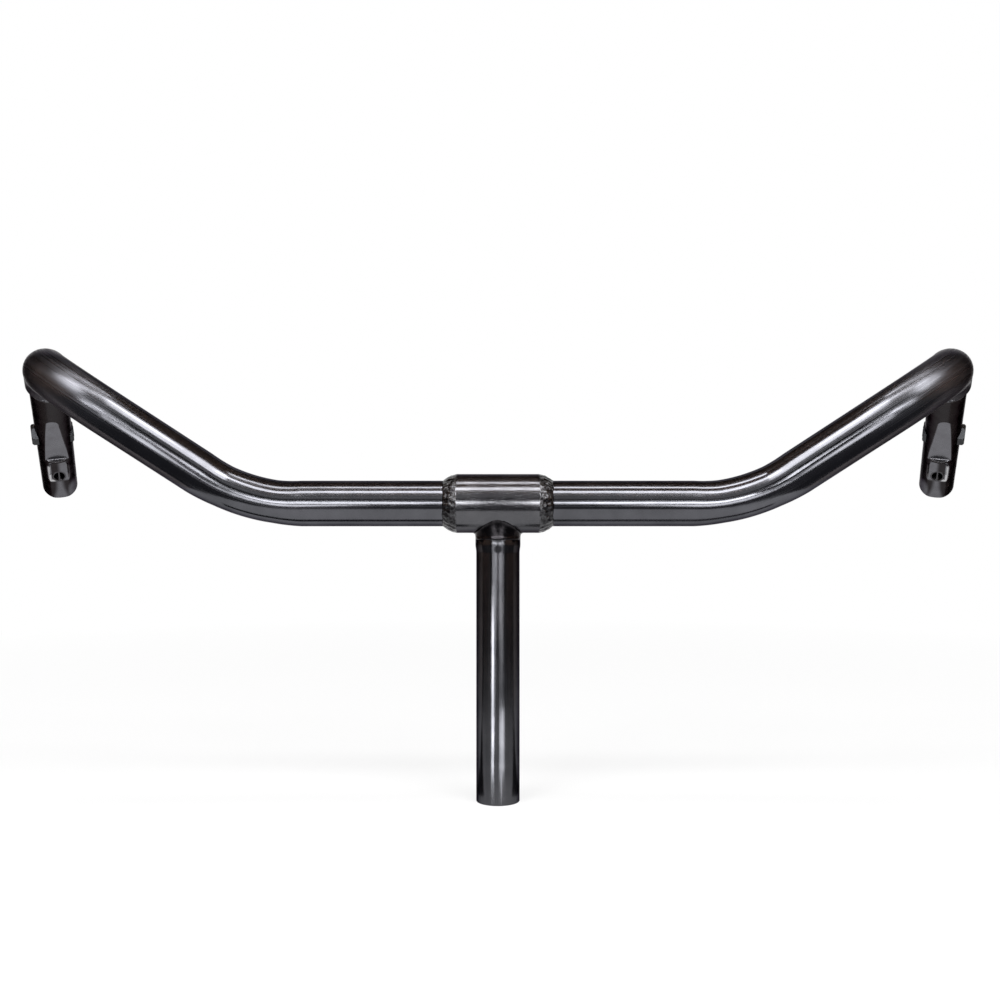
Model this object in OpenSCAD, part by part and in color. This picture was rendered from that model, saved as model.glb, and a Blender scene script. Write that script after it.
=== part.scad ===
// Bicycle handlebar: one bent tube, welded through a centre sleeve to a plain stem post,
// with a bolted metal shell over each turned-back end.
// Frame: origin at the middle of the stem post's foot, +Z up, +X to the rider's left,
// -Y the way the bicycle points. Lengths in millimetres, angles in degrees.

/* [Bar tube] */
// Outer diameter of the bar tube
bar_d = 22.2; // [19:0.1:25.4]
// Wall of the bar tube
bar_wall = 1.8; // [1.2:0.1:2.4]
// How far the wall draws in at a bend, from outside and from inside
bend_draw = 0.03; // [0.01:0.01:0.1]
// Straight length from the middle to the first bend
straight_half = 95; // [60:1:160]
// Centreline radius of the first bend
bend1_r = 85; // [50:1:110]
// Angle of the first bend
bend1_angle = 35; // [10:0.5:60]
// Forward tilt of the first bend's plane from upright
bend1_tilt = 16; // [0:1:40]
// Straight length of the arm
arm_len = 51; // [30:1:120]
// Centreline radius of the bend that turns the tube back
bend2_r = 41; // [30:1:70]
// Angle of the second bend
bend2_angle = 76.5; // [50:0.5:100]
// Turn of the tube in the bender before the second bend
bend2_turn = -108; // [-125:1:-90]
// Straight length between the second and the third bend
back_len = 6; // [2:0.5:30]
// Centreline radius of the bend that turns the end down
bend3_r = 29; // [24:1:60]
// Angle of the third bend
bend3_angle = 40.5; // [10:0.5:60]
// Turn of the tube in the bender before the third bend
bend3_turn = -50; // [-80:0.5:-20]

/* [Reduced tube end] */
// Length of the cone that reduces the tube
shoulder_len = 3; // [2:0.5:10]
// Outer diameter of the reduced end
neck_d = 13.2; // [11:0.1:15]
// Wall of the reduced end
neck_wall = 1.8; // [1.2:0.1:2.4]
// Length of the reduced end
neck_len = 51; // [50:0.5:54]

/* [Centre sleeve] */
// Outer diameter of the sleeve
sleeve_d = 28.6; // [27:0.1:34]
// Length of the sleeve
sleeve_len = 45; // [36:1:90]
// Width of the weld bevel at each end of the sleeve
sleeve_bevel = 2.2; // [1:0.1:3]
// Clearance between the bar tube and the sleeve's bore, on the radius
sleeve_fit = 0.05; // [0:0.01:0.1]

/* [Stem post] */
// Outer diameter of the post
stem_d = 21.1; // [18:0.1:25.4]
// Wall of the post
stem_wall = 2.2; // [1.5:0.1:3]
// Length of the post below the sleeve
stem_len = 130; // [60:1:250]
// Outer diameter of the collar that the weld sits on, at the top of the post
collar_d = 21.9; // [18.2:0.1:26]
// Length of the collar below the sleeve
collar_len = 5.5; // [4:0.5:20]

/* [Welds] */
// Radius of one ripple of the beads at the sleeve's ends
ring_bead_r = 3.3; // [2.8:0.1:3.8]
// Radius of one ripple of the bead between post and sleeve
stem_bead_r = 2.6; // [2:0.1:3.2]
// Pitch of the ripples along a bead
ripple_pitch = 2.9; // [2.4:0.1:3.2]

/* [End shell] */
// Outer diameter of the shell
shell_d = 19; // [18.4:0.1:22]
// Length of the shell
shell_len = 96.5; // [90:0.5:130]
// Turn of the shell about its own axis, measured as the bends' turns are
shell_turn = -91; // [-110:1:-70]
// Gap between the tube's shoulder and the shell's rim
rim_gap = 0.5; // [0.3:0.1:4]
// Rounding of the shell's front rim
rim_round = 1; // [0.5:0.1:1.4]
// Rounding of the shell's closed end
end_round = 1.6; // [1:0.1:4]
// Clearance between the reduced tube end and the shell's bore, on the radius
neck_fit = 0.1; // [0.05:0.05:0.3]
// Depth of the shell's bore past the tube's end
bore_spare = 0.5; // [0.3:0.1:3]
// Diameter of the cable way behind the bore
cable_d = 8; // [6:0.5:10]
// Start of the inclined flat, from the front rim
flat_start = 19.5; // [10:1:25]
// End of the inclined flat, from the front rim
flat_end = 57; // [50:1:60]
// Depth of the inclined flat at its start
flat_front_depth = 0.6; // [0.2:0.1:1]
// Depth of the inclined flat at its end
flat_depth = 2.3; // [1.2:0.1:2.3]
// Width of the cut that makes the flat
flat_w = 13.4; // [12:0.1:16]
// Thickness of the ridge between the flat and the pocket
ridge = 1.3; // [0.8:0.1:3]
// Width of the pocket
pocket_w = 12.6; // [9:0.1:13]
// Length of the pocket
pocket_len = 18; // [16:0.5:19]
// Depth of the pocket at the ridge
pocket_depth = 2.6; // [1.5:0.1:2.8]
// Slope of the pocket's floor, out towards the closed end
pocket_slope = 9; // [7:0.5:12]
// Depth of the plain flat from the ridge to the closed end
land_depth = 1.2; // [0.5:0.1:1.6]
// Place of the port, from the front rim
port_at = 74.5; // [70:0.5:80]
// Diameter of the port
port_d = 5.8; // [4:0.1:7]
// Wall of the raised ring round the port
port_ring = 0.9; // [0.6:0.1:1.5]
// Height of the ring above the plain flat
port_proud = 0.4; // [0:0.1:1]
// Thickness of the web across the port
port_web = 0.8; // [0.6:0.1:1.2]

/* [Cross bolt] */
// Diameter of the bolt
bolt_d = 6; // [5:0.1:6.5]
// Clearance of the bolt in its holes, on the radius
bolt_fit = 0.2; // [0.1:0.05:0.4]
// Place of the bolt, from the shell's front rim
bolt_at = 42; // [30:1:44]
// Width of the hexagons across their flats
hex_af = 10; // [9:0.1:10.4]
// Height of the bolt's head
head_h = 3.4; // [2.5:0.1:5]
// Height of the thin nut
nut_h = 2; // [1.8:0.1:5]
// Depth of the flat seat that is cut for the head or the nut
seat_depth = 1.4; // [0.8:0.1:1.6]
// Clearance round the hexagons' corners in their seats
seat_fit = 0.4; // [0.2:0.1:1]
// Clearance between bolt and nut in the thread, on the radius
thread_fit = 0.05; // [0:0.01:0.1]
// Length of bolt that stands out of the nut
bolt_end = 0.2; // [0.2:0.1:3]

/* [Hidden] */
$fn = 96;
HEX = 6;
through = 1;
ring_bead_sink = 0.55;
shoulder_lead = 1;
dark_chrome = [0.20, 0.19, 0.20];
plated_steel = [0.32, 0.31, 0.32];

bar_r = bar_d / 2;
sleeve_r = sleeve_d / 2;
stem_r = stem_d / 2;
collar_r = collar_d / 2;
neck_r = neck_d / 2;
shell_r = shell_d / 2;
bar_z = stem_len + sleeve_r;
bolt_r = bolt_d / 2;
hex_r = hex_af / 2 / cos(180 / HEX);
seat = shell_r - seat_depth;
bore_depth = neck_len - rim_gap + bore_spare;
port_outer_r = port_d / 2 + port_ring;

// Moves its children past a straight run or a bend of the tube. The tube runs along +Z,
// and a bend curls it towards +X.
module past_run(len) translate([0, 0, len]) children();
module past_bend(angle, r)
    translate([r, 0, 0]) rotate([0, angle, 0]) translate([-r, 0, 0]) children();

// The stations of the half on the +X side, each one built on the station before it.
module at_middle() translate([0, 0, bar_z]) rotate([0, 90, 0]) children();
module at_bend1() at_middle() past_run(straight_half)
    rotate([0, 0, 180 + bend1_tilt]) children();
module at_arm() at_bend1() past_bend(bend1_angle, bend1_r) children();
module at_bend2() at_arm() past_run(arm_len) rotate([0, 0, bend2_turn]) children();
module at_back() at_bend2() past_bend(bend2_angle, bend2_r) children();
module at_bend3() at_back() past_run(back_len) rotate([0, 0, bend3_turn]) children();
module at_shoulder() at_bend3() past_bend(bend3_angle, bend3_r) children();
module at_neck() at_shoulder() past_run(shoulder_len) children();

// The shell's own frame: +Z from its rim to its closed end, +X across it to the bolt's head,
// +Y down to the side with the flat, the pocket and the port.
module at_rim() at_neck() past_run(rim_gap) rotate([0, 0, shell_turn]) children();
// The bolt's own frame: +Z along the bolt to its head, from the shell's axis.
module at_bolt() at_rim() translate([0, 0, bolt_at]) rotate([0, 90, 0]) children();

module on_right() children();
module on_left() mirror([1, 0, 0]) children();

// A straight run of tube along +Z.
module tube_run(len) difference() {
    cylinder(h = len, r = bar_r);
    translate([0, 0, -through]) cylinder(h = len + 2 * through, r = bar_r - bar_wall);
}

// A bend of tube: the stretch of a full ring between its start plane and its end plane.
module tube_bend(angle, r) {
    reach = r + bar_r + through;
    intersection() {
        translate([r, 0, 0]) rotate([90, 0, 0]) rotate_extrude() translate([r, 0])
            difference() {
                circle(r = bar_r - bend_draw);
                circle(r = bar_r - bar_wall + bend_draw);
            }
        translate([r - reach, -reach, 0]) cube([2 * reach, 2 * reach, reach]);
        translate([r, 0, 0]) rotate([0, angle, 0])
            translate([-reach, -reach, -reach]) cube([2 * reach, 2 * reach, reach]);
    }
}

// The tube's end: a short lead at full size, the cone down to the reduced size, and the
// reduced length that the shell slides on.
module reduced_end() {
    taper = shoulder_len - shoulder_lead;
    rotate_extrude() polygon([
        [bar_r - bar_wall, 0],
        [bar_r, 0],
        [bar_r, shoulder_lead],
        [neck_r, shoulder_lead + taper],
        [neck_r, shoulder_len + neck_len],
        [neck_r - neck_wall, shoulder_len + neck_len],
        [neck_r - neck_wall, shoulder_lead + taper],
        [bar_r - bar_wall, shoulder_lead]
    ]);
}

module bolt_hole() cylinder(h = 2 * shell_d, r = bolt_r + bolt_fit, center = true);

// From the first bend out to the tube's end.
module half_bar() {
    at_bend1() tube_bend(bend1_angle, bend1_r);
    at_arm() tube_run(arm_len);
    at_bend2() tube_bend(bend2_angle, bend2_r);
    at_back() tube_run(back_len);
    at_bend3() tube_bend(bend3_angle, bend3_r);
    difference() {
        at_shoulder() reduced_end();
        at_bolt() bolt_hole();
    }
}

module handlebar_tube() color(dark_chrome) {
    at_middle() translate([0, 0, -straight_half]) tube_run(2 * straight_half);
    on_right() half_bar();
    on_left() half_bar();
}

// Outer form of the sleeve, with a weld bevel at each end.
module sleeve_form() at_middle() {
    core = sleeve_len / 2 - sleeve_bevel;
    cylinder(h = 2 * core, r = sleeve_r, center = true);
    for (s = [0, 1]) mirror([0, 0, s]) translate([0, 0, core])
        cylinder(h = sleeve_bevel, r1 = sleeve_r, r2 = sleeve_r - sleeve_bevel);
}

module bar_core(r) at_middle() cylinder(h = 2 * straight_half, r = r, center = true);

module centre_sleeve() color(dark_chrome) difference() {
    sleeve_form();
    bar_core(bar_r + sleeve_fit);
}

// One ripple of a bead, with its poles along the bead.
module ripple(r) rotate([90, 0, 0]) sphere(r = r);

// Bead round the bar at the sleeve's end, sunk into the corner that the bevel leaves.
module sleeve_weld() color(dark_chrome) {
    ring_r = bar_r + sleeve_bevel / 2 - ring_bead_r * ring_bead_sink;
    count = round(2 * PI * (ring_r + ring_bead_r) / ripple_pitch);
    difference() {
        at_middle() translate([0, 0, sleeve_len / 2 + sleeve_bevel / 4])
            for (i = [0:count - 1]) rotate([0, 0, 360 * i / count])
                translate([ring_r, 0, 0]) ripple(ring_bead_r);
        sleeve_form();
        bar_core(bar_r);
    }
}

// The sleeve's outer surface, carried past the post on both sides.
module sleeve_saddle() at_middle() cylinder(h = 2 * stem_d, r = sleeve_r, center = true);

// Outer form of the post: its collar, the short cone under it, and the plain length below.
module post_form() {
    step = collar_r - stem_r;
    cylinder(h = stem_len - collar_len, r = stem_r);
    translate([0, 0, stem_len - collar_len]) cylinder(h = bar_z - stem_len, r = collar_r);
    translate([0, 0, stem_len - collar_len - step]) cylinder(h = step, r1 = stem_r, r2 = collar_r);
}

module stem_post() color(dark_chrome) difference() {
    post_form();
    translate([0, 0, -through]) cylinder(h = bar_z + 2 * through, r = stem_r - stem_wall);
    sleeve_saddle();
}

// Bead along the saddle curve between the post and the sleeve.
module stem_weld() color(dark_chrome) {
    count = round(2 * PI * (collar_r + stem_bead_r / 2) / ripple_pitch);
    difference() {
        for (i = [0:count - 1]) {
            y = collar_r * sin(360 * i / count);
            translate([0, 0, bar_z - sqrt(sleeve_r * sleeve_r - y * y)])
                rotate([0, 0, 360 * i / count]) translate([collar_r, 0, 0]) ripple(stem_bead_r);
        }
        cylinder(h = bar_z, r = collar_r);
        sleeve_saddle();
    }
}

// Section of the shell's outer form, from its axis out: a round rim and a rounder closed end.
module shell_section() {
    translate([0, rim_round]) square([shell_r, shell_len - rim_round - end_round]);
    square([shell_r - rim_round, shell_len]);
    translate([shell_r - rim_round, rim_round]) circle(r = rim_round);
    translate([0, shell_len - end_round]) square([shell_r - end_round, end_round]);
    translate([shell_r - end_round, shell_len - end_round]) circle(r = end_round);
}

// The bore for the reduced tube end, with the narrower cable way that goes on to the port.
module shell_bore() {
    translate([0, 0, -through]) cylinder(h = bore_depth + through, r = neck_r + neck_fit);
    cylinder(h = port_at + port_outer_r, r = cable_d / 2);
}

// A cut into the underside: a slot with a round front end, as wide and long as given. Its
// floor starts at this depth and sinks by this slope on the way to the closed end.
module slot_cut(start, len, w, depth, slope) translate([0, shell_r - depth, start])
    rotate([slope, 0, 0]) rotate([90, 0, 0])
        translate([0, 0, -shell_r]) linear_extrude(shell_r) {
            translate([0, w / 2]) circle(d = w);
            translate([-w / 2, w / 2]) square([w, len - w / 2]);
        }

// The long inclined flat.
module flat_cut() {
    len = flat_end - flat_start;
    slope = atan((flat_depth - flat_front_depth) / len);
    slot_cut(flat_start, len / cos(slope), flat_w, flat_front_depth, slope);
}

// The pocket behind the ridge, whose floor slopes out.
module pocket_cut() slot_cut(flat_end + ridge, pocket_len, pocket_w, pocket_depth, -pocket_slope);

// The plain flat that runs on from the ridge to the closed end.
module land_cut() translate([-shell_r, shell_r - land_depth, flat_end + ridge])
    cube([shell_d, shell_r, shell_len]);

// Cylinder from the shell's axis out to its underside, at the port.
module port_post(r, h) translate([0, 0, port_at]) rotate([-90, 0, 0]) cylinder(h = h, r = r);

// Plate that leaves the port open on each side of the shell's middle plane.
module port_plate() translate([-port_web / 2, cable_d / 4, port_at - port_outer_r])
    cube([port_web, shell_r - land_depth - cable_d / 4, 2 * port_outer_r]);

// The round seats that are faced flat on both sides, for the bolt's head and the nut.
module seat_cuts() for (s = [0, 1]) mirror([0, 0, s]) translate([0, 0, seat])
    cylinder(h = shell_r, r = hex_r + seat_fit);

module end_shell() color(dark_chrome) at_rim() difference() {
    union() {
        difference() {
            rotate_extrude() shell_section();
            flat_cut();
            pocket_cut();
            land_cut();
        }
        port_post(port_outer_r, shell_r - land_depth + port_proud);
    }
    shell_bore();
    difference() {
        port_post(port_d / 2, shell_r + through);
        port_plate();
    }
    translate([0, 0, bolt_at]) rotate([0, 90, 0]) {
        seat_cuts();
        bolt_hole();
    }
}

// Hexagon with the corners of its outer face turned off. It sits on z = 0.
module hexagon(h) intersection() {
    cylinder(h = h, r = hex_r, $fn = HEX);
    rotate_extrude() polygon([
        [0, 0], [hex_r, 0], [hex_r, h - (hex_r - hex_af / 2)], [hex_af / 2, h], [0, h]
    ]);
}

module shell_bolt() color(plated_steel) at_bolt() {
    below = seat + nut_h + bolt_end;
    translate([0, 0, -below]) cylinder(h = below + seat, r = bolt_r);
    translate([0, 0, seat]) hexagon(head_h);
}

module shell_nut() color(plated_steel) at_bolt() mirror([0, 0, 1]) translate([0, 0, seat])
    difference() {
        hexagon(nut_h);
        translate([0, 0, -through]) cylinder(h = nut_h + 2 * through, r = bolt_r + thread_fit);
    }

handlebar_tube();
centre_sleeve();
on_left() sleeve_weld();  // left_sleeve_weld
on_right() sleeve_weld();  // right_sleeve_weld
stem_post();
stem_weld();
on_left() end_shell();  // left_end_shell
on_right() end_shell();  // right_end_shell
on_left() shell_bolt();  // left_shell_bolt
on_right() shell_bolt();  // right_shell_bolt
on_left() shell_nut();  // left_shell_nut
on_right() shell_nut();  // right_shell_nut
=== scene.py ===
"""A bent chrome handlebar on its post, for Blender 4.5. Lengths are in metres, in the frame's own axes."""
import math

import bpy
from mathutils import Matrix, Vector, noise as lumps


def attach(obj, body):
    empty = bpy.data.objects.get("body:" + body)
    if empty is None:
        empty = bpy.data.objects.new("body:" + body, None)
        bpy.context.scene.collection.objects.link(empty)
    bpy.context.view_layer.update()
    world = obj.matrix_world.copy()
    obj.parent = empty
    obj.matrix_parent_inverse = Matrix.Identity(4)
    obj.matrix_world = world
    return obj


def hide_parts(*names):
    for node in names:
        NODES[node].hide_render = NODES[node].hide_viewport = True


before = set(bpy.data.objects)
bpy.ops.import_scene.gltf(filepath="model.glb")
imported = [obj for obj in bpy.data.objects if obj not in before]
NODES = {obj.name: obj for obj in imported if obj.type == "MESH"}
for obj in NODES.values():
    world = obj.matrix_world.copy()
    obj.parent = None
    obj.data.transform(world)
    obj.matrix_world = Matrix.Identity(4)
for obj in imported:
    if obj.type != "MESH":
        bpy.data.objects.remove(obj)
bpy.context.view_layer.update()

# The bar tube, as a tube bender makes it, from the middle out
BAR_R = 0.0111
STRAIGHT = 0.095
BEND1_R, BEND1_ANGLE, BEND1_TILT = 0.085, 35.0, 16.0
ARM = 0.051
BEND2_R, BEND2_ANGLE, BEND2_TURN = 0.041, 76.5, -108.0
BACK = 0.006
BEND3_R, BEND3_ANGLE, BEND3_TURN = 0.029, 40.5, -50.0
LEAD, TAPER = 0.001, 0.002
SHOULDER_STEP = 0.00012      # how much the bar has narrowed where the taper starts
NECK_R, NECK, NECK_EDGE = 0.0066, 0.012, 0.0003
BEND1_FLATTENED = 0.06       # share of the width that the first bend loses in its own plane
RING_POINTS = 96
RING_STEP = 0.0015

# The sleeve and the post
SLEEVE_R, SLEEVE, SLEEVE_BEVEL = 0.0143, 0.045, 0.0022
POST_R, POST_BORE_R, POST_BORE_EDGE = 0.01055, 0.00835, 0.0005
POST_TOP = 0.130             # where the sleeve's underside meets the post's front
BAR_Z = POST_TOP + SLEEVE_R
COLLAR_R, COLLAR = 0.01095, 0.0055
EDGE_R = 0.0006
COLLAR_FADE = 0.004          # length over which the post swells to the collar

# The weld beads: cones of fused metal at the sleeve's ends, and a fillet round the post
BEAD_IN, BEAD_OUT = 0.0198, 0.0266
BEAD_ROOT_R, BEAD_INSIDE_R = 0.0112, 0.0109
BEAD_ROWS, BEAD_POINTS = 18, 220
BEAD_RIPPLES, BEAD_LUMPS = 27, 520
BEAD_SWELL, BEAD_RIPPLE, BEAD_ROUGH, BEAD_STRAY = 0.00012, 0.00016, 0.00028, 0.00045
FILLET_ROWS, FILLET_POINTS, FILLET_LUMPS = 22, 200, 330
FILLET_WIDE, FILLET_DROP = 0.0011, 0.0031
FILLET_ROUGH, FILLET_UNEVEN, FILLET_TUCK = 0.00030, 0.00012, 0.00006
FILLET_INSET, FILLET_SINK = 0.0004, 0.001
FILLET_LIP, LIP_RISE, LIP_WIDE, LIP_FRONT = 0.00028, 0.0005, 0.00045, 0.0045

# The end shells. Z runs from the rim to the closed end, X to the bolt's head, Y to the underside
RIM_GAP, SHELL_TURN = 0.0005, -91.0
SHELL_R, SHELL = 0.0095, 0.0965
RIM_ROUND, END_ROUND = 0.0010, 0.0026
SHELL_BORE_R, SHELL_BORE = 0.0067, 0.012
FLAT_START, FLAT_END, FLAT_NOSE, FLAT_SPREAD, FLAT_SIDE = 0.0190, 0.057, 0.0035, 0.10, 0.0006
FLAT_FRONT_DEPTH, FLAT_DEPTH = 0.0006, 0.0023
RIDGE = 0.0013
POCKET_W, POCKET_END, POCKET_DEPTH, POCKET_SLOPE = 0.0122, 0.0785, 0.0029, 16.0
POCKET_WALL = 0.0026
LAND_DEPTH = 0.0012
BELL_HALF, BELL_GROWTH = 0.0030, 9
PORT_AT, PORT_R, PORT_RING, PORT_PROUD, PORT_WEB = 0.0745, 0.0029, 0.0008, 0.0004, 0.0008
PORT_DEPTH = 0.0030
BOLT_AT, SEAT_DEPTH, SEAT_R = 0.042, 0.0014, 0.00617

# The shells' painted reflections and shade, 0 on the round casting and 1 on a cut face
# Painted highlights on the rim and the port's ring; painted reflections on the tip, the land, the pocket's
# floor and the pocket's wall
RIM_SHADE, TIP_SHADE, LAND_SHADE, FLOOR_SHADE = 1.2, 0.8, 0.8, 0.9
POCKET_HIGHLIGHT, PORT_SHADE = 3.0, 0.3
FLOOR_SHADE_AT, FLOOR_SHADE_FADE, POCKET_HIGHLIGHT_START = 0.0004, 0.0026, 0.003
THUMB_SIDE, THUMB_BACK, THUMB_WIDE, THUMB_LONG, THUMB_FADE = 0.0068, 0.0068, 0.0024, 0.0075, 1.5

# The shells' meshes
CREASE = 0.0002              # softness of the shell's edges
SHELL_ROWS, SHELL_FINE_ROWS = 0.0008, 0.00022
SHELL_COLUMNS = 220

# The white floor: how much of its shading shows, and the distances between which that fades out
SHADOW_KEPT = 0.2
SHADOW_NEAR, SHADOW_FAR = 0.25, 0.9
FLOOR_HALF = 7.0

# The chrome: its reflection at a grazing angle, and the roughness that its bent ends gain
EDGE_TINT = (0.30, 0.29, 0.30, 1)
SATIN = 0.20
SATIN_FROM, SATIN_TO = 0.182, 0.218
QUARTER_TURN = 0.25

# The flags round the view, and the two narrow ones that lie under the bar in place of its shadow on the floor
SHEET_FRONT, SHEET_BACK = -0.27, 2.2
VIEW_MARGIN = 0.012
CLOTH_LIFT = 0.001
WALL, WALL_FRONT, WALL_TOP = 1.8, 2.6, 2.3
BLACK_CLOTH = (0.055, 0.055, 0.062, 1)
BROWN_CLOTH = (0.26, 0.18, 0.14, 1)
GREY_CLOTH = (0.50, 0.45, 0.43, 1)
LINE_FROM, LINE_TO, LINE_IN, LINE_OUT = -0.012, 0.024, 0.020, 0.21

# The lamps: half the angle through which the post's lamps shine, in degrees, and the floor panels
GRID_HALF = 22.0
PANEL_SIDE, PANEL_FRONT, PANEL_LIFT = 0.242, 0.95, 0.004
PANEL_SIZE, PANEL_RADIANCE = (0.13, 0.90), 6

# The photograph's camera
CAMERA_DISTANCE = 0.5823
CAMERA_RIGHT, CAMERA_UP = 0.0010, 0.00169
SENSOR_WIDTH, LENS = 36.0, 43.2


# Materials

def node_adder(tree):
    """A function that adds a node of some kind to this tree, with its values set."""
    def add(kind, **values):
        node = tree.nodes.new(kind)
        for key, value in values.items():
            setattr(node, key, value)
        return node

    return add


def new_material(name):
    """A material with its node tree, its Principled shader and a function that adds nodes."""
    material = bpy.data.materials.new(name)
    material.use_nodes = True
    tree = material.node_tree
    return material, tree, tree.nodes["Principled BSDF"], node_adder(tree)


def noise(add, tree, vector, scale, detail=3.0, roughness=0.55):
    """The value of a noise texture at these coordinates."""
    node = add("ShaderNodeTexNoise")
    node.inputs["Scale"].default_value = scale
    node.inputs["Detail"].default_value = detail
    node.inputs["Roughness"].default_value = roughness
    tree.links.new(vector, node.inputs["Vector"])
    return node.outputs["Fac"]


def ramp(add, tree, value, low, high, dark, light):
    """Maps value from low..high to dark..light, as numbers or as colours."""
    if isinstance(dark, (int, float)):
        node = add("ShaderNodeMapRange")
        for key, number in (("From Min", low), ("From Max", high), ("To Min", dark), ("To Max", light)):
            node.inputs[key].default_value = number
        tree.links.new(value, node.inputs["Value"])
        return node.outputs["Result"]
    node = add("ShaderNodeValToRGB")
    node.color_ramp.elements[0].position = low
    node.color_ramp.elements[0].color = (*dark, 1)
    node.color_ramp.elements[1].position = high
    node.color_ramp.elements[1].color = (*light, 1)
    tree.links.new(value, node.inputs["Fac"])
    return node.outputs["Color"]


def stretched(add, tree, kind, scale):
    """Texture coordinates, scaled differently along each axis."""
    coords = add("ShaderNodeTexCoord")
    mapping = add("ShaderNodeMapping")
    mapping.inputs["Scale"].default_value = scale
    tree.links.new(coords.outputs[kind], mapping.inputs["Vector"])
    return mapping.outputs["Vector"]


def bumps(add, tree, shader, layers):
    """Stacks bump layers, each one a height socket with its distance in metres."""
    normal = None
    for height, distance in layers:
        node = add("ShaderNodeBump")
        node.inputs["Strength"].default_value = 1.0
        node.inputs["Distance"].default_value = distance
        tree.links.new(height, node.inputs["Height"])
        if normal is not None:
            tree.links.new(normal, node.inputs["Normal"])
        normal = node.outputs["Normal"]
    tree.links.new(normal, shader.inputs["Normal"])


def chrome(name, dark, light, smooth_gloss, rough_gloss, stretch, wave, grain, stretched_along=0.0,
           fineness=3.0):
    """Dark plated chrome: cloudy tarnish in the colour, drawn lines in the gloss and a faint waviness.
    stretched_along draws the highlights out across the lines, as fine drawn scratches do."""
    material, tree, shader, add = new_material(name)
    shader.inputs["Metallic"].default_value = 1.0
    shader.inputs["Specular Tint"].default_value = EDGE_TINT
    place = stretched(add, tree, "Object", (1, 1, 1))
    lines = noise(add, tree, stretched(add, tree, "UV", stretch), 1.0, detail=fineness, roughness=0.7)
    cloud = noise(add, tree, place, 55)
    pits = noise(add, tree, place, 1400, detail=1.0)
    swell = noise(add, tree, place, 120, detail=1.0)
    tree.links.new(ramp(add, tree, cloud, 0.35, 0.7, dark, light), shader.inputs["Base Color"])
    gloss = ramp(add, tree, lines, 0.32, 0.68, smooth_gloss, rough_gloss)
    tree.links.new(gloss, shader.inputs["Roughness"])
    bumps(add, tree, shader, [(swell, wave), (lines, grain), (pits, grain * 0.35)])
    if stretched_along:
        shader.inputs["Anisotropic"].default_value = stretched_along
        tangent = add("ShaderNodeTangent", direction_type="UV_MAP", uv_map="along")
        tree.links.new(tangent.outputs["Tangent"], shader.inputs["Tangent"])
    return material, tree, shader, add, gloss


def tube_chrome():
    """The tube's chrome, bright along the middle and the arms and satin where the ends were bent."""
    material, tree, shader, add, gloss = chrome(
        "dark_chrome_tube", dark=(0.088, 0.089, 0.098), light=(0.118, 0.119, 0.132),
        smooth_gloss=0.05, rough_gloss=0.24, stretch=(150, 2, 1), wave=0.00004, grain=0.0000015,
        stretched_along=0.3, fineness=1.0)
    along = add("ShaderNodeSeparateXYZ")
    tree.links.new(add("ShaderNodeTexCoord").outputs["UV"], along.inputs[0])
    out = add("ShaderNodeMath", operation="ABSOLUTE")
    tree.links.new(along.outputs["Y"], out.inputs[0])
    total = add("ShaderNodeMath", operation="ADD")
    tree.links.new(gloss, total.inputs[0])
    tree.links.new(ramp(add, tree, out.outputs[0], SATIN_FROM, SATIN_TO, 0.0, SATIN), total.inputs[1])
    tree.links.new(total.outputs[0], shader.inputs["Roughness"])
    return material


def sleeve_chrome():
    """The sleeve's chrome, rougher than the tube's."""
    return chrome("dark_chrome_sleeve", dark=(0.088, 0.088, 0.095), light=(0.125, 0.124, 0.132),
                  smooth_gloss=0.07, rough_gloss=0.30, stretch=(300, 130, 1), wave=0.00005,
                  grain=0.000005)[0]


def post_chrome():
    """The post's chrome, darker than the tube's as painted shade. Its scratches run round it, so its
    highlights stretch along it.
    """
    material, _, shader, _, _ = chrome(
        "dark_chrome_post", dark=(0.050, 0.051, 0.056), light=(0.076, 0.076, 0.083),
        smooth_gloss=0.08, rough_gloss=0.26, stretch=(95, 9, 1), wave=0.00006, grain=0.000012,
        stretched_along=0.85)
    shader.inputs["Anisotropic Rotation"].default_value = QUARTER_TURN
    return material


def cast_chrome():
    """The shells' chrome, with painted shade and reflections: near black on the casting, paler on cut faces.
    """
    material, tree, shader, add = new_material("cast_chrome_shell")
    shader.inputs["Metallic"].default_value = 1.0
    shader.inputs["Specular Tint"].default_value = EDGE_TINT
    place = stretched(add, tree, "Object", (1, 1, 1))
    painted_light = add("ShaderNodeAttribute", attribute_name="painted_light")
    share = ramp(add, tree, painted_light.outputs["Fac"], -1.0, 3.0, 0.0, 1.0)
    # Painted light and shade: black in the port's hole, near black on the round casting, paler on the cut
    # faces, palest on the pocket wall's highlight
    shade = add("ShaderNodeValToRGB")
    colours = shade.color_ramp.elements
    colours[0].color = (0.002, 0.002, 0.002, 1)
    colours[1].color = (0.62, 0.62, 0.63, 1)
    for position, colour in ((0.25, (0.044, 0.041, 0.042, 1)), (0.5, (0.19, 0.19, 0.205, 1))):
        colours.new(position).color = colour
    tree.links.new(share, shade.inputs["Fac"])
    cloud = noise(add, tree, place, 150, detail=4.0)
    # The painted light, made cloudy by tarnish
    tarnish_and_painted_highlight = add("ShaderNodeMix", data_type="RGBA", blend_type="MULTIPLY")
    tarnish_and_painted_highlight.inputs["Factor"].default_value = 1.0
    tree.links.new(shade.outputs["Color"], tarnish_and_painted_highlight.inputs["A"])
    tree.links.new(ramp(add, tree, cloud, 0.3, 0.7, (0.78, 0.77, 0.77), (1, 1, 1)), tarnish_and_painted_highlight.inputs["B"])
    tree.links.new(tarnish_and_painted_highlight.outputs["Result"], shader.inputs["Base Color"])
    tree.links.new(ramp(add, tree, cloud, 0.3, 0.7, 0.16, 0.34), shader.inputs["Roughness"])
    bumps(add, tree, shader, [(noise(add, tree, place, 260, detail=2.0), 0.00005),
                              (noise(add, tree, place, 1500, detail=2.0), 0.000006)])
    return material


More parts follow.
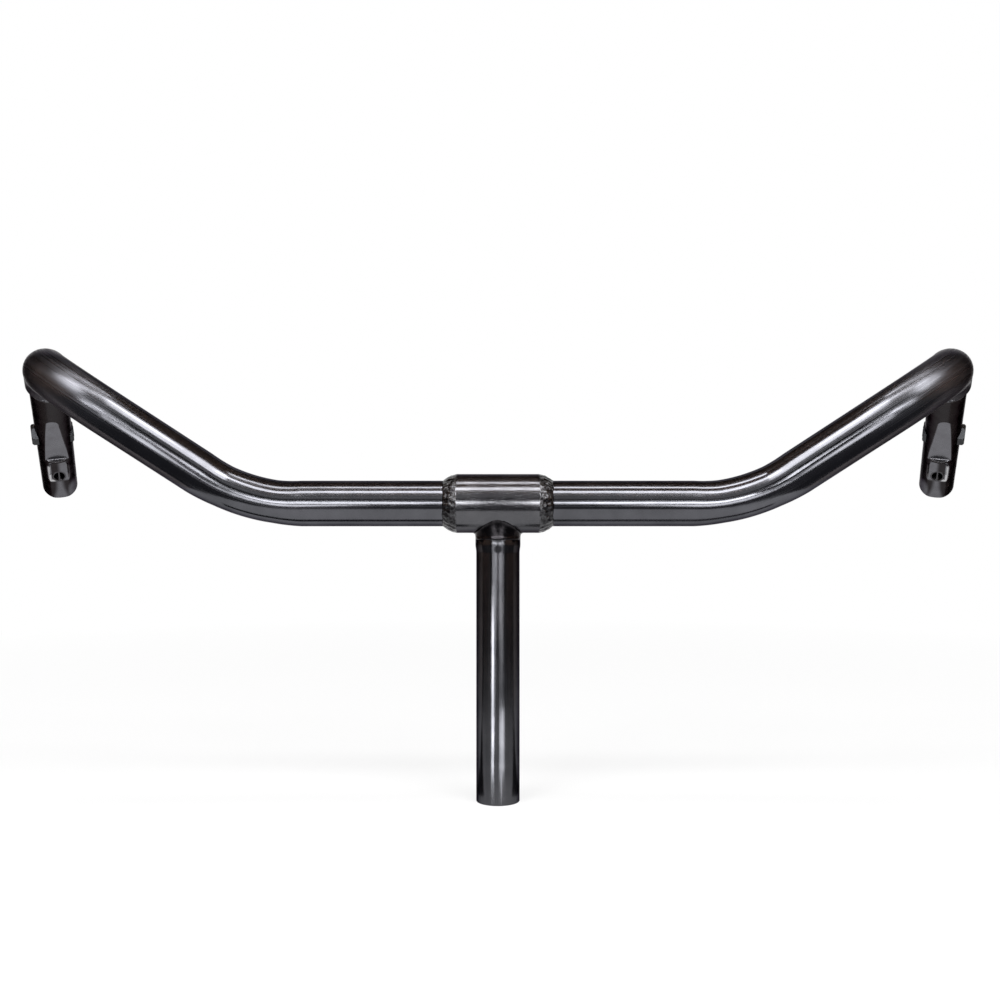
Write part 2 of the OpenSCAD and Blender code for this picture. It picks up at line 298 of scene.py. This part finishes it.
def weld_metal(name, light, depth):
    """Plated weld bead: uneven ripples, darker in their hollows."""
    material, tree, shader, add = new_material(name)
    shader.inputs["Metallic"].default_value = 1.0
    place = stretched(add, tree, "Object", (1, 1, 1))
    lump = noise(add, tree, place, 420, detail=4.0, roughness=0.65)
    speck = noise(add, tree, place, 1900, detail=2.0)
    tree.links.new(ramp(add, tree, lump, 0.35, 0.68, (0.012, 0.011, 0.012), light),
                   shader.inputs["Base Color"])
    tree.links.new(ramp(add, tree, speck, 0.3, 0.7, 0.08, 0.26), shader.inputs["Roughness"])
    bumps(add, tree, shader, [(lump, depth), (speck, 0.00004)])
    return material


def plated_steel():
    """Dark, slightly cloudy plated coat of the bolts and nuts."""
    material, tree, shader, add = new_material("plated_steel")
    shader.inputs["Metallic"].default_value = 1.0
    place = stretched(add, tree, "Object", (1, 1, 1))
    cloud = noise(add, tree, place, 300)
    tree.links.new(ramp(add, tree, cloud, 0.3, 0.7, (0.024, 0.025, 0.027), (0.040, 0.041, 0.044)),
                   shader.inputs["Base Color"])
    tree.links.new(ramp(add, tree, cloud, 0.3, 0.7, 0.24, 0.34), shader.inputs["Roughness"])
    return material


# Meshes

def smooth(t):
    """Rises from 0 to 1 as t does, level at both ends, and stays there beyond them."""
    t = min(1.0, max(0.0, t))
    return t * t * (3 - 2 * t)


def mesh_object(name, points, faces, uvs, material, node):
    """A smooth piece that stands for one CAD node. uvs has one pair for each corner of each face."""
    mesh = bpy.data.meshes.new(name)
    mesh.from_pydata(points, [], faces)
    layer = mesh.uv_layers.new(name="along")
    for corner, pair in zip(layer.data, uvs):
        corner.uv = pair
    mesh.materials.append(material)
    mesh.polygons.foreach_set("use_smooth", [True] * len(mesh.polygons))
    mesh.update()
    piece = bpy.data.objects.new(name, mesh)
    bpy.context.scene.collection.objects.link(piece)
    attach(piece, "root")
    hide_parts(node)
    return piece


def skin(rings, closed=False):
    """Faces and uvs over rings of equal length. closed joins the last ring to the first."""
    count = len(rings[0])
    points = [p for ring in rings for p in ring]
    middles = [sum((Vector(p) for p in ring), Vector()) / count for ring in rings]
    reach = [0.0]
    for a, b in zip(middles, middles[1:]):
        reach.append(reach[-1] + (b - a).length)
    faces, uvs = [], []
    for i in range(len(rings) if closed else len(rings) - 1):
        j = (i + 1) % len(rings)
        for k in range(count):
            n = (k + 1) % count
            faces.append((i * count + k, i * count + n, j * count + n, j * count + k))
            a, b = k / count, (k + 1) / count
            uvs += [(a, reach[i]), (b, reach[i]), (b, reach[j]), (a, reach[j])]
    return points, faces, uvs


def cap(points, faces, uvs, ring, flip):
    """Closes a ring of point numbers with a fan round its middle."""
    middle = sum((Vector(points[k]) for k in ring), Vector()) / len(ring)
    points.append(tuple(middle))
    last = len(points) - 1
    for a, b in zip(ring, ring[1:] + ring[:1]):
        faces.append((b, a, last) if flip else (a, b, last))
        uvs += [(0, uvs[-1][1])] * 3


def stations():
    """The tube's sections on the +X side, as (frame, turn so far, radius, share flattened), and the
    frame at its shoulder."""
    found = []
    place = Matrix.Translation((0, 0, BAR_Z)) @ Matrix.Rotation(math.radians(90), 4, "Y")
    turned = 0.0

    def section(at, radius=BAR_R, flat=0.0):
        found.append((at, turned, radius, flat))

    def run(length):
        nonlocal place
        steps = max(1, round(length / RING_STEP))
        for i in range(1, steps + 1):
            section(place @ Matrix.Translation((0, 0, length * i / steps)))
        place = place @ Matrix.Translation((0, 0, length))

    def turn(degrees):
        nonlocal place, turned
        place = place @ Matrix.Rotation(math.radians(degrees), 4, "Z")
        turned += math.radians(degrees)

    def bend(degrees, radius, flattened=0.0):
        nonlocal place
        centre = place @ Matrix.Translation((radius, 0, 0))
        out = Matrix.Translation((-radius, 0, 0))
        steps = round(math.radians(degrees) * radius / RING_STEP)
        for i in range(1, steps + 1):
            angle = math.radians(degrees) * i / steps
            fade = min(1.0, 4 * i / steps, 4 * (1 - i / steps))
            section(centre @ Matrix.Rotation(angle, 4, "Y") @ out, flat=flattened * fade)
        place = centre @ Matrix.Rotation(math.radians(degrees), 4, "Y") @ out

    section(place)
    run(STRAIGHT)
    turn(180 + BEND1_TILT)
    bend(BEND1_ANGLE, BEND1_R, BEND1_FLATTENED)
    run(ARM)
    turn(BEND2_TURN)
    bend(BEND2_ANGLE, BEND2_R)
    run(BACK)
    turn(BEND3_TURN)
    bend(BEND3_ANGLE, BEND3_R)
    for distance, radius in ((LEAD * 0.7, BAR_R), (LEAD, BAR_R - SHOULDER_STEP), (LEAD + TAPER, NECK_R),
                             (LEAD + TAPER + NECK_EDGE, NECK_R), (LEAD + TAPER + NECK, NECK_R)):
        section(place @ Matrix.Translation((0, 0, distance)), radius)
    return found, place


def bar_tube(material):
    """The whole bent tube: the stations' rings on one side, mirrored for the other."""
    half = []
    for at, turned, radius, flat in stations()[0]:
        ring = []
        for k in range(RING_POINTS):
            angle = 2 * math.pi * k / RING_POINTS - turned
            x = radius * (1 - flat) * math.cos(angle)
            y = radius * math.sin(angle)
            ring.append(tuple(at @ Vector((x, y, 0))))
        half.append(ring)
    other = [[(-x, y, z) for x, y, z in ring] for ring in reversed(half[1:])]
    points, faces, uvs = skin(other + half)
    length = max(v for u, v in uvs)
    uvs = [(u, v - length / 2) for u, v in uvs]
    first = list(range(RING_POINTS))
    last = [(len(other) + len(half) - 1) * RING_POINTS + k for k in first]
    cap(points, faces, uvs, first, True)
    cap(points, faces, uvs, last, False)
    return mesh_object("bar_tube", points, faces, uvs, material, "handlebar_tube")


def rounded(corners, radius, steps=5):
    """An outline through these corners, each one rounded, as (distance along, radius) pairs."""
    outline = []
    for before, corner, after in zip([corners[-1]] + corners, corners, corners[1:] + corners[:1]):
        corner, before, after = Vector(corner), Vector(before), Vector(after)
        cut = min(radius, (before - corner).length / 2.2, (after - corner).length / 2.2)
        a = corner + (before - corner).normalized() * cut
        b = corner + (after - corner).normalized() * cut
        for i in range(steps + 1):
            t = i / steps
            outline.append(a * (1 - t) ** 2 + corner * 2 * t * (1 - t) + b * t * t)
    return outline


def sleeve(material):
    """The sleeve as a turned ring with softened bevels."""
    half = SLEEVE / 2
    low = SLEEVE_R - SLEEVE_BEVEL
    corners = [(-half, BAR_R), (-half, low), (-half + SLEEVE_BEVEL, SLEEVE_R),
               (half - SLEEVE_BEVEL, SLEEVE_R), (half, low), (half, BAR_R)]
    rings = []
    for along, radius in rounded(corners, EDGE_R):
        ring = []
        for k in range(RING_POINTS):
            angle = 2 * math.pi * k / RING_POINTS
            ring.append((along, radius * math.cos(angle), BAR_Z + radius * math.sin(angle)))
        rings.append(ring)
    points, faces, uvs = skin(rings, closed=True)
    return mesh_object("sleeve", points, faces, uvs, material, "centre_sleeve")


def saddle(y):
    """Height of the sleeve's underside at this distance in front of or behind its axis."""
    return BAR_Z - math.sqrt(SLEEVE_R ** 2 - y * y)


def post(material):
    """The post as a tube with a rounded foot, a swelling to its collar and a top cut to the sleeve."""
    ground = POST_TOP - COLLAR - COLLAR_FADE
    outside = [(EDGE_R * (1 - math.cos(a)), POST_R - EDGE_R * (1 - math.sin(a)))
               for a in (math.radians(10 * i) for i in range(10))]
    outside += [(ground * i / 60, POST_R) for i in range(1, 61)]
    outside += [(ground + COLLAR_FADE * i / 12, POST_R + (COLLAR_R - POST_R) * smooth(i / 12))
                for i in range(1, 13)]
    inside = [(POST_BORE_EDGE, POST_BORE_R), (0.0, POST_BORE_R + POST_BORE_EDGE)]
    rings = []

    def ring(height, radius, to_saddle=False):
        made = []
        for k in range(RING_POINTS):
            angle = 2 * math.pi * k / RING_POINTS
            x, y = radius * math.cos(angle), radius * math.sin(angle)
            made.append((x, y, saddle(y) if to_saddle else height))
        rings.append(made)

    ring(0, POST_BORE_R, True)
    for height, radius in inside + outside:
        ring(height, radius)
    ring(0, COLLAR_R, True)
    points, faces, uvs = skin(rings, closed=True)
    return mesh_object("post", points, faces, uvs, material, "stem_post")


def rough_metal(x, y, z, scale):
    """Unevenness of fused metal at a place, about -1 to 1."""
    return lumps.noise(Vector((x, y, z)) * scale) + 0.5 * lumps.noise(Vector((x, y, z)) * scale * 2.3)


def sleeve_bead(side, material):
    """Fused metal that slopes from the sleeve's end to the bar, in uneven ripples. side is 1 or -1."""
    def inner_ring(along):
        return [(side * along, BEAD_INSIDE_R * math.cos(a), BAR_Z + BEAD_INSIDE_R * math.sin(a))
                for a in (2 * math.pi * k / BEAD_POINTS for k in range(BEAD_POINTS))]

    rings = [inner_ring(BEAD_IN)]
    for i in range(BEAD_ROWS + 1):
        t = i / BEAD_ROWS
        ring = []
        for k in range(BEAD_POINTS):
            angle = 2 * math.pi * k / BEAD_POINTS
            along = BEAD_IN + (BEAD_OUT - BEAD_IN) * t
            base = SLEEVE_R - (SLEEVE_R - BEAD_ROOT_R) * (0.55 * t + 0.45 * t * t)
            swell = math.sin(math.pi * t)
            wave = math.cos(BEAD_RIPPLES * angle + 2.5 * t + 1.2 * math.sin(3 * angle))
            metal = rough_metal(side * along, base * math.cos(angle), base * math.sin(angle), BEAD_LUMPS)
            radius = base + swell * (BEAD_SWELL + BEAD_RIPPLE * wave + BEAD_ROUGH * metal)
            along += BEAD_STRAY * t * lumps.noise(Vector((4 * math.cos(angle), 4 * math.sin(angle), side)))
            ring.append((side * along, radius * math.cos(angle), BAR_Z + radius * math.sin(angle)))
        rings.append(ring)
    rings.append(inner_ring(BEAD_OUT * 0.995))
    points, faces, uvs = skin(rings, closed=True)
    if side < 0:
        faces = [face[::-1] for face in faces]
    name = "right" if side > 0 else "left"
    return mesh_object(name + "_bead", points, faces, uvs, material, name + "_sleeve_weld")


def stem_fillet(material):
    """The hollow fillet between sleeve and post, with a small lip where it ends on the post."""
    floor = POST_TOP - FILLET_DROP
    rings = []
    for i in range(FILLET_ROWS + 1):
        t = i / FILLET_ROWS
        ring = []
        for k in range(FILLET_POINTS):
            angle = 2 * math.pi * k / FILLET_POINTS
            radius = COLLAR_R + FILLET_WIDE * (1 - t) ** 2
            metal = rough_metal(radius * math.cos(angle), radius * math.sin(angle), t * 0.004, FILLET_LUMPS)
            top = saddle(radius * math.sin(angle))
            height = top * (1 - t * t) + floor * t * t + FILLET_ROUGH * metal * t * (1 - t) * 4
            lip = math.exp(-((height - floor - LIP_RISE) / LIP_WIDE) ** 2)
            front = math.exp(-(radius * math.cos(angle) / LIP_FRONT) ** 2)
            proud = FILLET_LIP * lip * (0.25 + 0.75 * front + 0.5 * metal)
            radius += proud + FILLET_UNEVEN * metal * (1 - t) - FILLET_TUCK * (t == 1)
            ring.append((radius * math.cos(angle), radius * math.sin(angle), height))
        rings.append(ring)
    inner = COLLAR_R - FILLET_INSET
    below, above = [], []
    for k in range(FILLET_POINTS):
        angle = 2 * math.pi * k / FILLET_POINTS
        x, y = inner * math.cos(angle), inner * math.sin(angle)
        below.append((x, y, floor))
        above.append((x, y, max(floor, saddle(y) - FILLET_SINK)))
    rings += [below, above]
    points, faces, uvs = skin(rings, closed=True)
    faces = [face[::-1] for face in faces]
    return mesh_object("stem_fillet", points, faces, uvs, material, "stem_weld")


# The end shells

def soft_low(a, b, softness=CREASE):
    """The lower of two heights, with the corner between them rounded."""
    near = max(softness - abs(a - b), 0.0) / softness
    return min(a, b) - near * near * softness / 4


def slot_depth(x, along, start, end, half, spread=0.0):
    """How far a place lies inside a slot with a round front end, whose sides spread by this slope."""
    middle = start + half
    across = math.hypot(x, along - middle) if along < middle else abs(x) - spread * (along - middle)
    return min(half - across, end - along)


def underside(x, along, round_y):
    """Height of the shell's underside, and the painted light there, where the round shell is round_y high.
    The shade is 0 on the round shell and 1 on the cut faces, a painted reflection."""
    height, shade = round_y, 0.0
    share = (along - FLAT_START) / (FLAT_END - FLAT_START)
    flat = SHELL_R - FLAT_FRONT_DEPTH - (FLAT_DEPTH - FLAT_FRONT_DEPTH) * share
    edge = slot_depth(x - FLAT_SIDE, along, FLAT_START, FLAT_END, FLAT_NOSE, FLAT_SPREAD)
    inside = smooth(0.5 + edge / (3 * CREASE))
    if inside > 0 and flat < round_y + CREASE:
        height += inside * (soft_low(round_y, flat) - round_y)
        # The cut flat is painted paler: a painted reflection
        shade = inside * smooth((round_y - flat) / CREASE)
    start = FLAT_END + RIDGE
    behind = smooth((along - start) / (3 * CREASE))
    land = SHELL_R - LAND_DEPTH
    if behind > 0 and land < height + CREASE:
        # A painted reflection: a pale bell on the land behind the ridge, widening away from the pocket's end
        bell = smooth((BELL_HALF + BELL_GROWTH * (along - POCKET_END) ** 2 - abs(x)) / BELL_HALF)
        shade = max(shade, LAND_SHADE * behind * bell * smooth((round_y - land) / CREASE))
        height += behind * (soft_low(height, land, 3 * CREASE) - height)
    slope = math.tan(math.radians(POCKET_SLOPE))
    floor = max(SHELL_R - POCKET_DEPTH, land + (along - POCKET_END) * slope)
    depth = slot_depth(x, along, start, POCKET_END, POCKET_W / 2)
    inside = smooth(depth / (POCKET_WALL if x > 0 else 0.6 * POCKET_WALL))
    if inside > 0 and floor < height:
        height += inside * (floor - height)
        # A painted highlight on the pocket's wall on the bolt head's side, up to the palest shade
        tarnish_and_painted_highlight = inside * (1 - inside) * 4 * smooth((along - start) / POCKET_HIGHLIGHT_START) * smooth(x / 0.001 + 1.0)
        # A painted reflection: the pocket's floor is paler on the side away from the bolt's head
        pocket_floor_reflection = FLOOR_SHADE * inside * smooth(0.5 - (x + FLOOR_SHADE_AT) / FLOOR_SHADE_FADE)
        shade = max(shade * (1 - inside), pocket_floor_reflection, POCKET_HIGHLIGHT * tarnish_and_painted_highlight)
    ring = math.hypot(x, along - PORT_AT)
    outer = PORT_R + PORT_RING
    if ring < outer + 2 * CREASE:
        top = land + (along - POCKET_END) * slope + PORT_PROUD
        rise = smooth((outer + CREASE - ring) / (2 * CREASE))
        height += rise * (max(top, height) - height)
        hole = smooth((PORT_R - ring) / CREASE) * smooth((abs(x) - PORT_WEB / 2) / CREASE)
        height -= hole * PORT_DEPTH
        # A painted highlight on the ring round the port, and painted shade, near black, in its hole
        shade = shade * (1 - rise) + rise * (PORT_SHADE * (1 - hole) - hole)
    return height, shade


def shell_rows():
    """The shell's profile as (along, radius), from inside its bore round to the middle of its closed
    end."""
    rows = [(SHELL_BORE, SHELL_BORE_R), (0.0003, SHELL_BORE_R), (0.0, SHELL_BORE_R + 0.0003)]
    quarter = [math.radians(90 * i / 8) for i in range(9)]
    rows += [(RIM_ROUND * (1 - math.sin(a)), SHELL_R - RIM_ROUND * (1 - math.cos(a)))
             for a in quarter[::-1]]
    at = RIM_ROUND
    while at < SHELL - END_ROUND - SHELL_ROWS:
        fine = abs(at - BOLT_AT) < SEAT_R + 0.001 or FLAT_START - 0.001 < at < FLAT_START + 0.008 \
            or at > FLAT_END - 0.001
        at += SHELL_FINE_ROWS if fine and at < POCKET_END + 0.002 else SHELL_ROWS
        rows.append((at, SHELL_R))
    rows += [(SHELL - END_ROUND * (1 - math.sin(a)), SHELL_R - END_ROUND * (1 - math.cos(a)))
             for a in quarter]
    return rows + [(SHELL, SHELL_R * 0.45)]


def shell_angles():
    """Angles round the shell from its underside, closer together on the underside."""
    return [math.pi * (2 * k / SHELL_COLUMNS) - 0.55 * math.sin(2 * math.pi * k / SHELL_COLUMNS)
            for k in range(SHELL_COLUMNS)]


def end_shell(side, material):
    """A shell cast round its bore: the inclined flat, ridge, pocket and port, and the bolt's seats."""
    place = stations()[1] @ Matrix.Translation((0, 0, LEAD + TAPER + RIM_GAP)) \
        @ Matrix.Rotation(math.radians(SHELL_TURN), 4, "Z")
    rings, shades = [], []
    for along, radius in shell_rows():
        ring = []
        for angle in shell_angles():
            x, y = radius * math.sin(angle), radius * math.cos(angle)
            shade = 0.0
            if y > 0 and RIM_ROUND <= along and radius > SHELL_BORE_R:
                y, shade = underside(x, along, y)
            # A painted highlight on the rounded rim
            elif along < RIM_ROUND:
                shade = RIM_SHADE
            # A painted reflection: a pale patch on the side away from the bolt's head, near the closed end
            thumb = math.hypot((x + THUMB_SIDE) / THUMB_WIDE, (along - SHELL + THUMB_BACK) / THUMB_LONG)
            shade += TIP_SHADE * smooth(THUMB_FADE - thumb)
            seat = SHELL_R - SEAT_DEPTH
            if abs(x) > seat - CREASE and math.hypot(along - BOLT_AT, y) < SEAT_R + CREASE:
                faced = smooth((SEAT_R - math.hypot(along - BOLT_AT, y)) / CREASE + 0.5)
                x = math.copysign(abs(x) - faced * max(abs(x) - seat, 0.0), x)
            spot = place @ Vector((x, y, along))
            ring.append((side * spot.x, spot.y, spot.z))
            shades.append(shade)
        rings.append(ring)
    points, faces, uvs = skin(rings)
    last = [(len(rings) - 1) * SHELL_COLUMNS + k for k in range(SHELL_COLUMNS)]
    cap(points, faces, uvs, last, False)
    shades.append(shades[-1])
    if side > 0:
        faces = [face[::-1] for face in faces]
    name = "right" if side > 0 else "left"
    piece = mesh_object(name + "_shell", points, faces, uvs, material, name + "_end_shell")
    # The shells' painted highlights, reflections and shade, one value at each point
    layer = piece.data.attributes.new("painted_light", "FLOAT", "POINT")
    layer.data.foreach_set("value", shades)
    return piece


def dress(names, material):
    """Gives CAD nodes their material."""
    for name in names:
        slots = NODES[name].data.materials
        slots.clear()
        slots.append(material)


# The studio

def stage_panel(name, corners, material):
    """A flat panel through four corners, which isn't part of the object."""
    mesh = bpy.data.meshes.new(name)
    mesh.from_pydata(corners, [], [(0, 1, 2, 3)])
    mesh.materials.append(material)
    panel = bpy.data.objects.new(name, mesh)
    bpy.context.scene.collection.objects.link(panel)
    return panel


def direct_rays(add, tree):
    """1 for camera, glossy and transmission rays, else 0."""
    path = add("ShaderNodeLightPath")
    first = add("ShaderNodeMath", operation="MAXIMUM")
    second = add("ShaderNodeMath", operation="MAXIMUM")
    tree.links.new(path.outputs["Is Camera Ray"], first.inputs[0])
    tree.links.new(path.outputs["Is Glossy Ray"], first.inputs[1])
    tree.links.new(first.outputs[0], second.inputs[0])
    tree.links.new(path.outputs["Is Transmission Ray"], second.inputs[1])
    return second.outputs[0]


def paper(name, kept):
    """White paper that shows as white and keeps a share of its own shading, the object's shadow.
    The share fades out with the distance from the middle, so the floor has no horizon."""
    material, tree, shader, add = new_material(name)
    shader.inputs["Base Color"].default_value = (0.86, 0.86, 0.86, 1)
    shader.inputs["Roughness"].default_value = 0.9
    glow = add("ShaderNodeEmission")
    glow.inputs["Strength"].default_value = 1.0
    away = add("ShaderNodeVectorMath", operation="LENGTH")
    tree.links.new(add("ShaderNodeTexCoord").outputs["Object"], away.inputs[0])
    covered = ramp(add, tree, away.outputs["Value"], SHADOW_NEAR, SHADOW_FAR, 1 - kept, 1.0)
    share = add("ShaderNodeMath", operation="MULTIPLY")
    tree.links.new(direct_rays(add, tree), share.inputs[0])
    tree.links.new(covered, share.inputs[1])
    mix = add("ShaderNodeMixShader")
    tree.links.new(share.outputs[0], mix.inputs[0])
    tree.links.new(shader.outputs[0], mix.inputs[1])
    tree.links.new(glow.outputs[0], mix.inputs[2])
    tree.links.new(mix.outputs[0], tree.nodes["Material Output"].inputs["Surface"])
    return material


def flag_cloth(name, colour):
    """Cloth of the flags that keep the chrome's surroundings dark."""
    material, _, shader, _ = new_material(name)
    shader.inputs["Base Color"].default_value = colour
    shader.inputs["Roughness"].default_value = 1.0
    shader.inputs["Specular IOR Level"].default_value = 0.0
    return material


def flag(name, corners, cloth):
    """A flag through four corners. Only reflections show it: cameras, shadows and diffuse light don't."""
    panel = stage_panel(name, corners, cloth)
    panel.visible_camera = False
    panel.visible_shadow = False
    panel.visible_diffuse = False


def flags():
    """Cloth on the floor beside the view and in front of it, two narrow strips under the bar that stand in
    for its shadow, and cloth up the front and sides and overhead. Side 1 is at +X, the photograph's right."""
    cloth = flag_cloth("black_cloth", BLACK_CLOTH)
    brown = flag_cloth("brown_cloth", BROWN_CLOTH)
    grey = flag_cloth("grey_cloth", GREY_CLOTH)
    low = CLOTH_LIFT
    near, far = SHEET_FRONT, SHEET_BACK

    def beside(y):
        """Half the view's width on the floor at this y, with the margin."""
        return VIEW_MARGIN + (y + CAMERA_DISTANCE) * SENSOR_WIDTH / 2 / LENS

    for name, side in (("right", 1), ("left", -1)):
        flag(name + "_floor_flag", [(side * beside(near), near, low), (side * WALL, near, low),
                                    (side * WALL, 0, low), (side * beside(0), 0, low)], cloth)
        flag(name + "_back_flag", [(side * beside(0), 0, low), (side * WALL, 0, low),
                                   (side * WALL, far, low), (side * beside(far), far, low)], grey)
        # Two narrow dark cloths under the bar that stand in for its shadow on the floor, seen only in
        # reflections
        flag(name + "_bar_shadow_flag", [(side * LINE_IN, LINE_FROM, low), (side * LINE_OUT, LINE_FROM, low),
                                   (side * LINE_OUT, LINE_TO, low), (side * LINE_IN, LINE_TO, low)], cloth)
        flag(name + "_side_flag", [(side * WALL, -WALL_FRONT, 0), (side * WALL, far, 0),
                                   (side * WALL, far, WALL_TOP), (side * WALL, -WALL_FRONT, WALL_TOP)], brown)
    flag("front_floor_flag", [(-WALL, -WALL_FRONT, low), (WALL, -WALL_FRONT, low),
                              (WALL, near, low), (-WALL, near, low)], cloth)
    flag("front_flag", [(-WALL, -WALL_FRONT, 0), (WALL, -WALL_FRONT, 0),
                        (WALL, -WALL_FRONT, WALL_TOP), (-WALL, -WALL_FRONT, WALL_TOP)], cloth)
    flag("top_flag", [(-WALL, -WALL_FRONT, WALL_TOP), (WALL, -WALL_FRONT, WALL_TOP),
                      (WALL, far, WALL_TOP), (-WALL, far, WALL_TOP)], brown)


def lamp(name, place, target, size, watts):
    """A white rectangular lamp at a place, turned to its target. Cameras don't see it."""
    data = bpy.data.lights.new(name, "AREA")
    data.shape = "RECTANGLE"
    data.size, data.size_y = size
    data.energy = watts
    light = bpy.data.objects.new(name, data)
    light.location = place
    light.rotation_euler = (Vector(target) - Vector(place)).to_track_quat("-Z", "Y").to_euler()
    bpy.context.scene.collection.objects.link(light)
    light.visible_camera = False
    return light


def strip(name, bearing, rise, distance, size, radiance, lean=0.0):
    """A strip lamp at this bearing to the right of the camera and this rise from the bar, in degrees.
    Its width and height are in degrees too. lean turns it in its own plane. Its power follows from
    its radiance and its area."""
    centre = Vector((0, 0, BAR_Z))
    turned, up = math.radians(bearing), math.radians(rise)
    place = centre + distance * Vector((math.sin(turned) * math.cos(up), -math.cos(turned) * math.cos(up),
                                        math.sin(up)))
    wide, tall = (2 * distance * math.tan(math.radians(v / 2)) for v in size)
    light = lamp(name, place, centre, (wide, tall), radiance * wide * tall * math.pi)
    light.rotation_euler.rotate_axis("Z", math.radians(lean))


def post_lamp(name, bearing, distance, size, radiance):
    """A low lamp that stands in front of the post, with a grid that keeps its light off the bar."""
    turned = math.radians(bearing)
    wide, tall = size
    half = math.radians(GRID_HALF)
    place = (distance * math.sin(turned), -distance * math.cos(turned), 0.002 + tall / 2)
    watts = radiance * wide * tall * math.pi * (1 - half / math.tan(half))
    lamp(name, place, (0, 0, place[2]), size, watts).data.spread = 2 * half


def studio():
    """The white floor and surroundings, the flags and the lamps."""
    wide = FLOOR_HALF
    stage_panel("floor", [(-wide, -wide, 0), (wide, -wide, 0), (wide, wide, 0), (-wide, wide, 0)],
                paper("white_paper", SHADOW_KEPT))
    world = bpy.data.worlds.new("surroundings")
    bpy.context.scene.world = world
    world.use_nodes = True
    tree = world.node_tree
    back = tree.nodes["Background"]
    back.inputs["Color"].default_value = (1, 1, 1, 1)
    tree.links.new(direct_rays(node_adder(tree), tree), back.inputs["Strength"])
    flags()
    for name, side in (("left", -1), ("right", 1)):
        strip(name + "_front_strip", bearing=side * 17.5, rise=5.4, distance=2.2, size=(29, 9.5),
              radiance=11, lean=side * 12)
        strip(name + "_softbox", bearing=side * 42, rise=43, distance=2.0, size=(26, 30),
              radiance=7, lean=side * -42)
        place = (side * PANEL_SIDE, -PANEL_FRONT, PANEL_LIFT)
        lamp(name + "_floor_panel", place, (place[0], place[1], 1), PANEL_SIZE,
             PANEL_RADIANCE * PANEL_SIZE[0] * PANEL_SIZE[1] * math.pi)
    strip("high_strip", bearing=0, rise=59, distance=2.0, size=(50, 11), radiance=9)
    strip("top_strip", bearing=0, rise=87.5, distance=2.0, size=(36, 8), radiance=8)
    strip("dim_card", bearing=0, rise=35, distance=2.4, size=(50, 26), radiance=0.5)
    post_lamp("post_strip", bearing=-26, distance=0.15, size=(0.038, 0.080), radiance=26)
    post_lamp("low_post_strip", bearing=-26, distance=0.06, size=(0.014, 0.024), radiance=20)
    post_lamp("post_card", bearing=20, distance=0.07, size=(0.036, 0.034), radiance=18)


def camera():
    """The photograph's camera, level and a little above the bar's middle."""
    data = bpy.data.cameras.new("camera")
    data.sensor_width = SENSOR_WIDTH
    data.lens = LENS
    seen = bpy.data.objects.new("camera", data)
    seen.location = (CAMERA_RIGHT, -CAMERA_DISTANCE, BAR_Z + CAMERA_UP)
    seen.rotation_euler = (math.radians(90), 0, 0)
    bpy.context.scene.collection.objects.link(seen)
    bpy.context.scene.camera = seen


bpy.context.scene.view_settings.view_transform = "Standard"
camera()
studio()
TUBE = tube_chrome()
CAST, WELD = cast_chrome(), weld_metal("plated_weld", (0.12, 0.12, 0.125), 0.0005)
bar_tube(TUBE)
sleeve(sleeve_chrome())
post(post_chrome())
# The fillet's weld is a darker copy of the beads' weld: painted shade under the sleeve
stem_fillet(weld_metal("fillet_weld_painted_shade", (0.036, 0.034, 0.037), 0.00008))
for hand in (1, -1):
    sleeve_bead(hand, WELD)
    end_shell(hand, CAST)
dress(["left_shell_bolt", "right_shell_bolt", "left_shell_nut", "right_shell_nut"], plated_steel())
